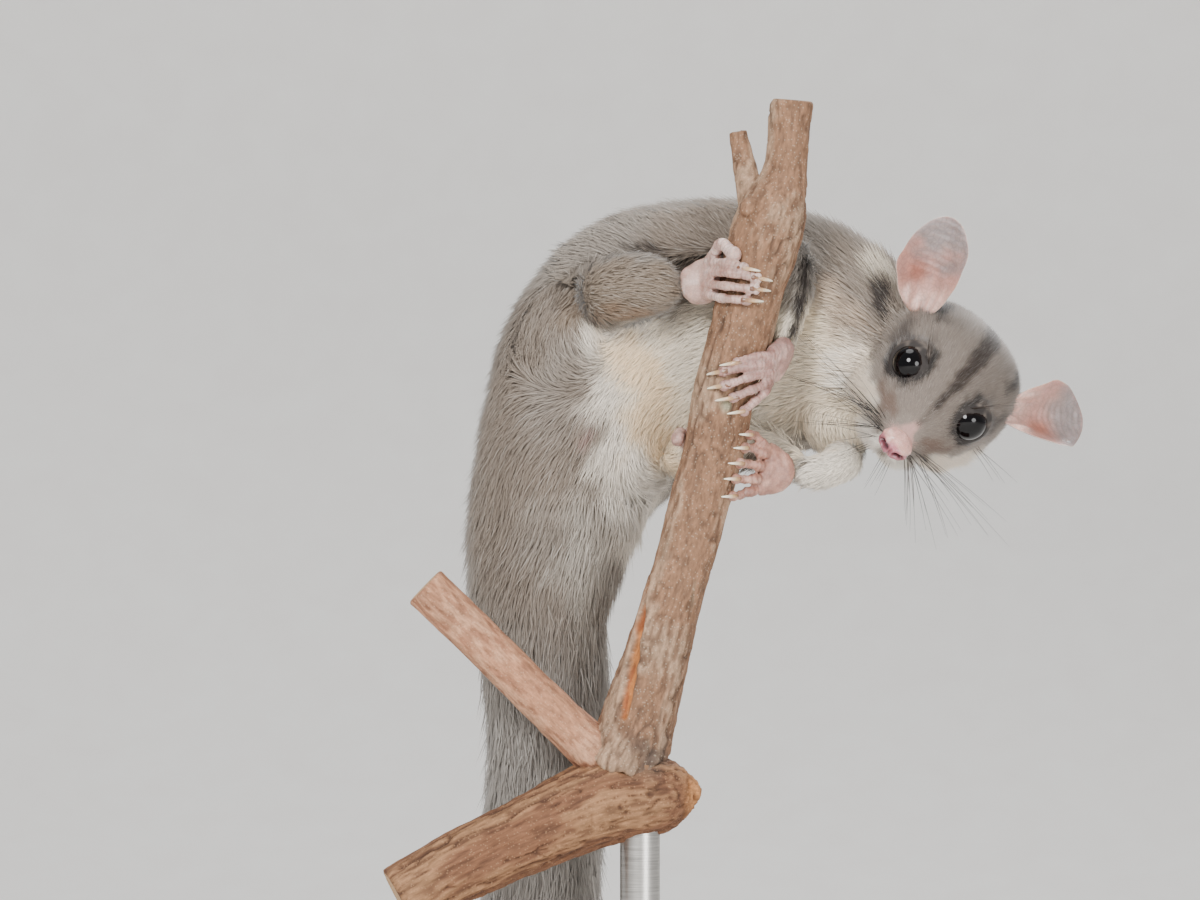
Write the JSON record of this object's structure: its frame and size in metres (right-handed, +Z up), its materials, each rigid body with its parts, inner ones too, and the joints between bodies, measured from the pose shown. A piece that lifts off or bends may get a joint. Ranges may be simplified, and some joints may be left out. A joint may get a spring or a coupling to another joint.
{
  "type": "sugar glider display model",
  "caption": "Life-size still model of a sugar glider clinging belly-on to a cut branch, tail hanging, head turned to the side, held on a flat base by a rod.",
  "frame": {"origin": "centre of the stand base's underside", "axes": "+Z up; -Y is the side the animal's belly faces; +X is towards its head"},
  "size_m": [0.1512, 0.116, 0.2804],
  "materials": {
    "grey_fur": "soft short fur",
    "pink_skin": "bare soft skin",
    "wet_eye": "wet gloss",
    "bark": "rough bark",
    "stained_wood": "stained and oiled",
    "steel_rod": "brushed"
  },
  "bodies": {
    "root": {"head": "grey_fur", "lower_jaw": "grey_fur", "neck": "grey_fur", "torso": "grey_fur", "tail_root": "grey_fur", "tail_middle": "grey_fur", "tail_tip": "grey_fur", "upper_arm_right": "grey_fur", "upper_arm_left": "grey_fur", "forearm_right": "grey_fur", "forearm_left": "grey_fur", "thigh_right": "grey_fur", "thigh_left": "grey_fur", "shank_right": "grey_fur", "shank_left": "grey_fur", "membrane_right": "grey_fur", "membrane_left": "grey_fur", "nose": "pink_skin", "ear_right": "pink_skin", "ear_left": "pink_skin", "hand_right": "pink_skin", "hand_left": "pink_skin", "foot_right": "pink_skin", "foot_left": "pink_skin", "eye_right": "wet_eye", "eye_left": "wet_eye", "perch_stem": "bark", "perch_bough": "bark", "perch_side_stem": "bark", "stand_base": "stained_wood", "stand_rod": "steel_rod"}
  },
  "joints": []
}
